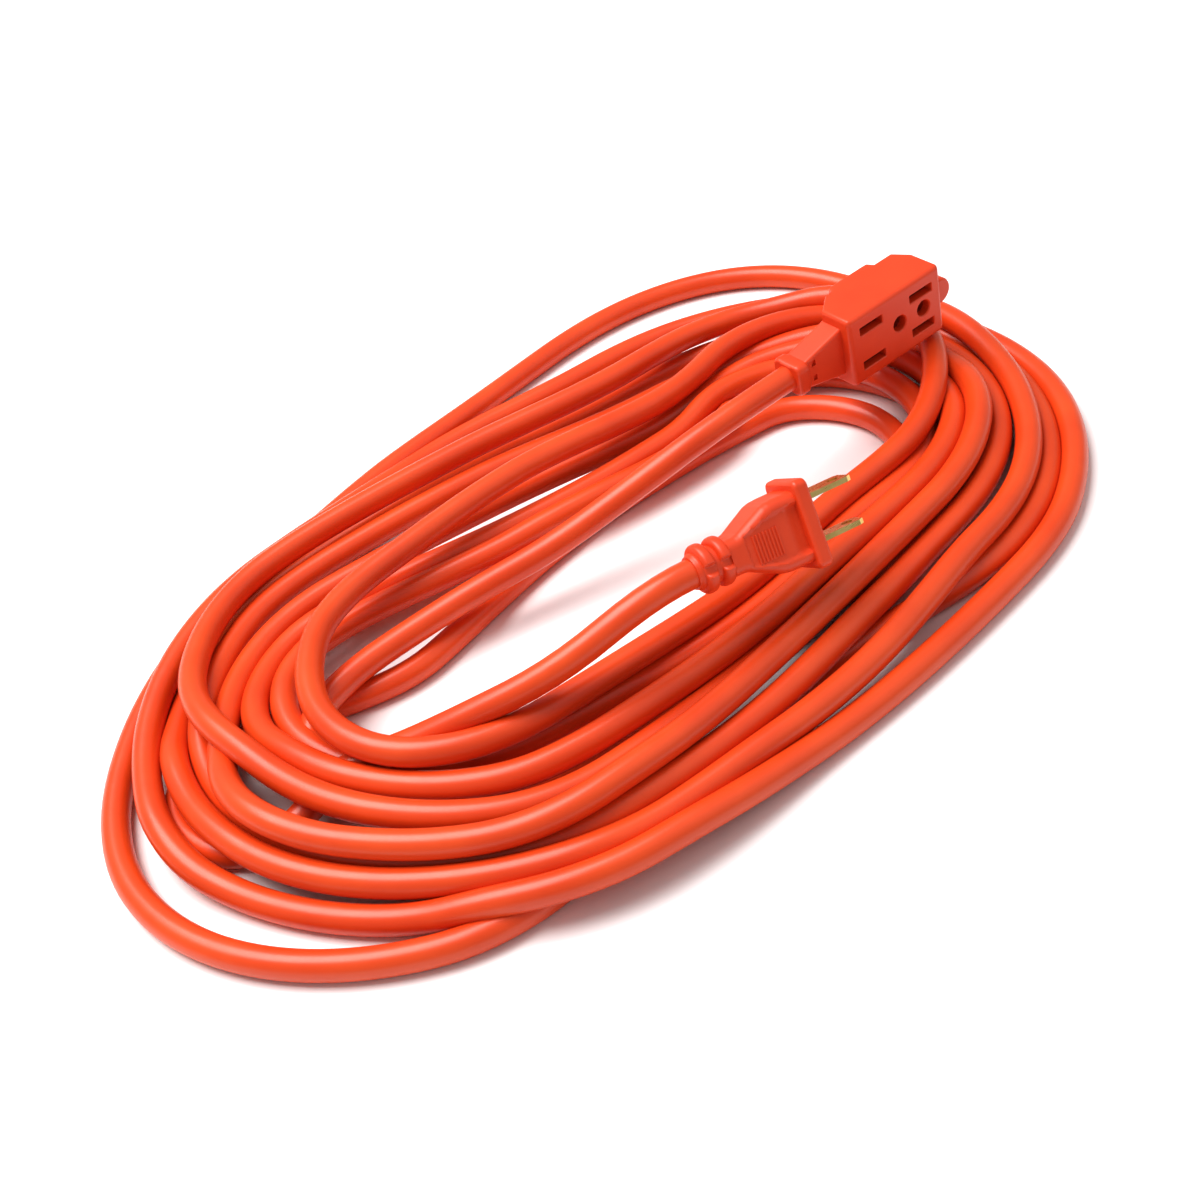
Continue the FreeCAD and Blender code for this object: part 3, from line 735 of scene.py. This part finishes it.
def orange_vinyl(name, deep, bright, roughness, grain, grain_strength):
    """Soft vinyl: uneven saturated colour, a satin surface and a fine grain."""
    nodes = Nodes(name)
    clouds = nodes.noise(38.0, 4.0)
    colour = nodes.ramp(clouds, [(0.3, deep), (0.7, bright)])
    gloss = nodes.ranged(nodes.noise(160.0, 3.0), roughness - 0.05, roughness + 0.06)
    waves = nodes.bump(nodes.noise(70.0, 2.0), 0.12, 0.0008)
    surface = nodes.bump(nodes.noise(grain, 2.0), grain_strength, 0.0001, waves)
    nodes.set(Base_Color=colour, Roughness=gloss, Normal=surface, Specular_IOR_Level=0.6,
              IOR=1.5)
    return nodes.material


def brass(name, dark, light, roughness):
    """Stamped brass: rolling marks along the blades and slightly cloudy tone."""
    nodes = Nodes(name)
    clouds = nodes.noise(220.0, 4.0)
    colour = nodes.ramp(clouds, [(0.3, dark), (0.68, light)])
    marks = nodes.stretched_noise(900.0, (0.08, 1.0, 1.0))
    gloss = nodes.ranged(marks, roughness - 0.06, roughness + 0.1)
    nodes.set(Base_Color=colour, Metallic=1.0, Roughness=gloss,
              Normal=nodes.bump(marks, 0.25, 0.00005))
    return nodes.material


def hard_plastic(name, dark, light, roughness):
    """Moulded hard plastic with a fine spark-eroded texture."""
    nodes = Nodes(name)
    colour = nodes.ramp(nodes.noise(300.0), [(0.35, dark), (0.65, light)])
    gloss = nodes.ranged(nodes.noise(900.0), roughness - 0.04, roughness + 0.06)
    nodes.set(Base_Color=colour, Roughness=gloss,
              Normal=nodes.bump(nodes.noise(2600.0, 2.0), 0.2, 0.00004))
    return nodes.material


def paper_white():
    """Matt white floor."""
    nodes = Nodes("floor_white")
    greys = [(0.3, (0.93, 0.93, 0.93)), (0.7, (0.95, 0.95, 0.95))]
    colour = nodes.ramp(nodes.noise(3.0, 2.0), greys)
    nodes.set(Base_Color=colour, Roughness=0.85, Specular_IOR_Level=0.1)
    return nodes.material


# ---- stage ---------------------------------------------------------------------------------

KEY_PLACE = (-0.3, 0.5, 1.45)
KEY_SIZE = 1.2
KEY_WATTS = 27
FILL_PLACE = (0.9, -0.9, 1.3)
FILL_SIZE = 1.6
FILL_WATTS = 3
SKY_STRENGTH = 0.32
EXPOSURE = 0.38
GAMMA = 0.85


def add_floor():
    """A level floor at Z = 0, well past the object on every side."""
    data = bpy.data.meshes.new("Floor")
    data.from_pydata([(-6, -6, 0), (6, -6, 0), (6, 6, 0), (-6, 6, 0)], [], [(0, 1, 2, 3)])
    floor = bpy.data.objects.new("Floor", data)
    bpy.context.scene.collection.objects.link(floor)
    data.materials.append(paper_white())


def add_light(name, place, size, energy):
    """A soft square light that faces the coil's middle."""
    data = bpy.data.lights.new(name, "AREA")
    data.energy = energy
    data.size = size
    light = bpy.data.objects.new(name, data)
    bpy.context.scene.collection.objects.link(light)
    aim = (Vector((0, 0, 0)) - Vector(place)).to_track_quat("-Z", "Y")
    light.matrix_world = Matrix.Translation(place) @ aim.to_matrix().to_4x4()


def add_lights():
    """A soft key from above, a weak fill from the near right, an even sky, and the exposure."""
    add_light("Key", KEY_PLACE, KEY_SIZE, KEY_WATTS)
    add_light("Fill", FILL_PLACE, FILL_SIZE, FILL_WATTS)
    world = bpy.data.worlds.new("World")
    world.use_nodes = True
    background = world.node_tree.nodes["Background"]
    background.inputs["Color"].default_value = (1, 1, 1, 1)
    background.inputs["Strength"].default_value = SKY_STRENGTH
    bpy.context.scene.world = world
    bpy.context.scene.view_settings.view_transform = "Standard"
    bpy.context.scene.view_settings.exposure = EXPOSURE
    bpy.context.scene.view_settings.gamma = GAMMA


# ---- put together --------------------------------------------------------------------------

def paint_nodes():
    """Materials for the CAD nodes that stay in view."""
    bright = brass("blade_brass", *BLADE_TONES, 0.27)
    dull = brass("contact_brass", *CONTACT_TONES, 0.36)
    # the carriers deep in the slots get painted shade, a darkened orange
    shaded_insert = hard_plastic("insert_plastic", *SHADED_INSERT_TONES, 0.5)
    white = hard_plastic("neutral_insulation", *WHITE_TONES, 0.4)
    black = hard_plastic("line_insulation", *BLACK_TONES, 0.4)
    finishes = {"blade": bright, "crimp": dull, "bus": dull, "left": dull, "right": dull,
                "rear": dull, "carrier": shaded_insert, "bridge": shaded_insert}
    for name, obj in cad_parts.items():
        finish = finishes.get(name.split("_")[-1])
        if name.endswith("_wire"):
            finish = white if "neutral" in name else black
        if finish:
            obj.data.materials.clear()
            obj.data.materials.append(finish)


add_camera()
jacket = orange_vinyl("orange_jacket", *JACKET_TONES, 0.34, 1500.0, 0.1)
moulding = orange_vinyl("orange_moulding", *MOULDING_TONES, 0.42, 2200.0, 0.16)
cord = cord_curve("cord", cord_points(), CORD * MM)
cord.data.materials.append(jacket)
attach(cord, "root")
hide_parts("coil", "plug_lead", "tap_lead")
plug = add_plug(moulding)
tap = add_tap(moulding)
paint_nodes()
add_floor()
add_lights()
